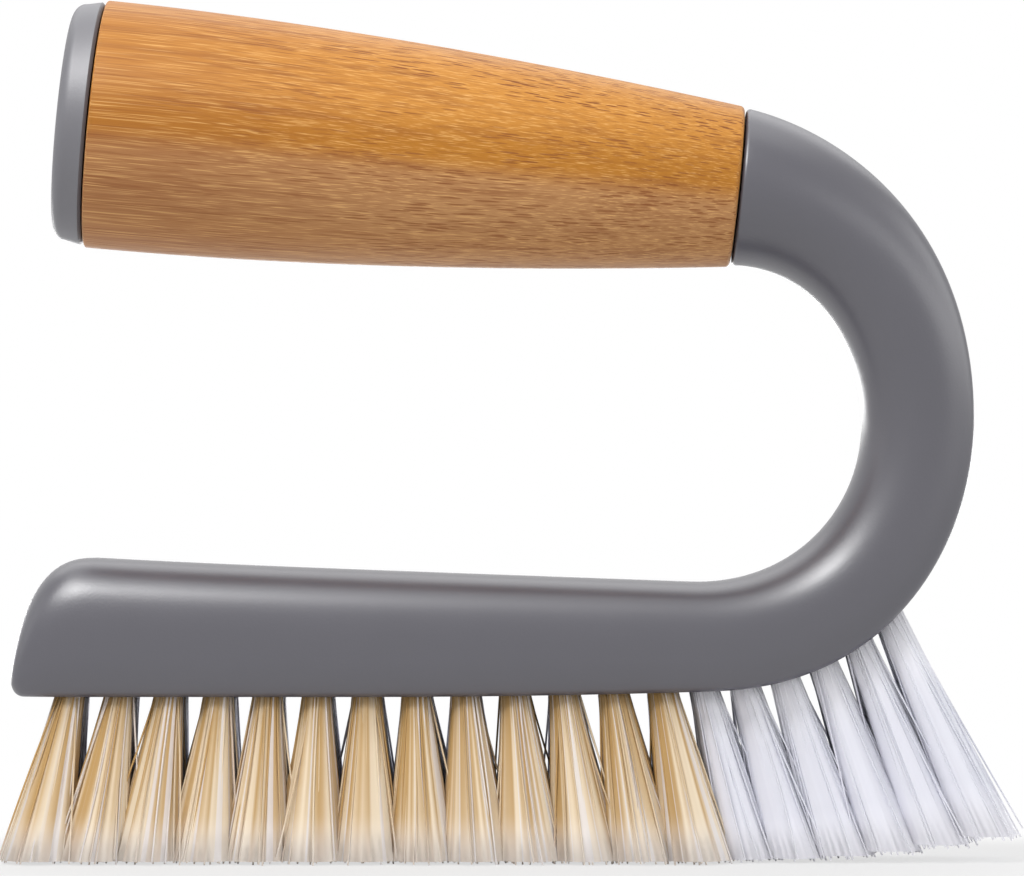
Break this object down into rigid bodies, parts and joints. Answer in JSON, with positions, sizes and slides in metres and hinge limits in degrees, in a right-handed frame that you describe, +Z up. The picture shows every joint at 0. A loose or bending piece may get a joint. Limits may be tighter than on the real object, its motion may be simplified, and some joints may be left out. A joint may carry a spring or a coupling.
{
  "type": "grout brush",
  "caption": "Grout brush with a narrow bristle block, a U-shaped arm and a turned bamboo grip; tan and white tufts on the flat, white tufts up the bend.",
  "frame": {"origin": "centre of the bounding box in X and Y, at the plane of the bristle tips in Z", "axes": "+X along the brush towards the bend of the arm, +Z up from the bristle tips to the grip, Y across the brush"},
  "size_m": [0.1626, 0.0404, 0.1399],
  "materials": {
    "body_grey": "satin mid-grey moulded plastic",
    "bamboo": "laminated bamboo, satin varnish",
    "cap_grey": "satin light-grey moulded plastic",
    "tan_bristle": "natural-coloured bristle",
    "white_bristle": "cool white filament",
    "steel": "plain steel"
  },
  "bodies": {
    "root": {"brush_body": "body_grey", "bamboo_handle": "bamboo", "end_cap": "cap_grey", "handle_screw": "steel", "screw_washer": "steel", "block_tuft_01_front": "tan_bristle", "block_tuft_01_middle": "tan_bristle", "block_tuft_01_back": "white_bristle", "block_tuft_02_front": "tan_bristle", "block_tuft_02_middle": "tan_bristle", "block_tuft_02_back": "white_bristle", "block_tuft_03_front": "tan_bristle", "block_tuft_03_middle": "tan_bristle", "block_tuft_03_back": "white_bristle", "block_tuft_04_front": "tan_bristle", "block_tuft_04_middle": "tan_bristle", "block_tuft_04_back": "white_bristle", "block_tuft_05_front": "tan_bristle", "block_tuft_05_middle": "tan_bristle", "block_tuft_05_back": "white_bristle", "block_tuft_06_front": "tan_bristle", "block_tuft_06_middle": "tan_bristle", "block_tuft_06_back": "white_bristle", "block_tuft_07_front": "tan_bristle", "block_tuft_07_middle": "tan_bristle", "block_tuft_07_back": "white_bristle", "block_tuft_08_front": "tan_bristle", "block_tuft_08_middle": "tan_bristle", "block_tuft_08_back": "white_bristle", "block_tuft_09_front": "tan_bristle", "block_tuft_09_middle": "tan_bristle", "block_tuft_09_back": "white_bristle", "block_tuft_10_front": "tan_bristle", "block_tuft_10_middle": "tan_bristle", "block_tuft_10_back": "white_bristle", "block_tuft_11_front": "tan_bristle", "block_tuft_11_middle": "tan_bristle", "block_tuft_11_back": "white_bristle", "block_tuft_12_front": "tan_bristle", "block_tuft_12_middle": "tan_bristle", "block_tuft_12_back": "white_bristle", "block_tuft_13_front": "tan_bristle", "block_tuft_13_middle": "tan_bristle", "block_tuft_13_back": "white_bristle", "bend_tuft_01_front": "white_bristle", "bend_tuft_01_back": "white_bristle", "bend_tuft_02_front": "white_bristle", "bend_tuft_02_back": "white_bristle", "bend_tuft_03_front": "white_bristle", "bend_tuft_03_back": "white_bristle", "bend_tuft_04_front": "white_bristle", "bend_tuft_04_back": "white_bristle", "bend_tuft_05_front": "white_bristle", "bend_tuft_05_back": "white_bristle", "bend_tuft_06_front": "white_bristle", "bend_tuft_06_back": "white_bristle"}
  },
  "joints": []
}
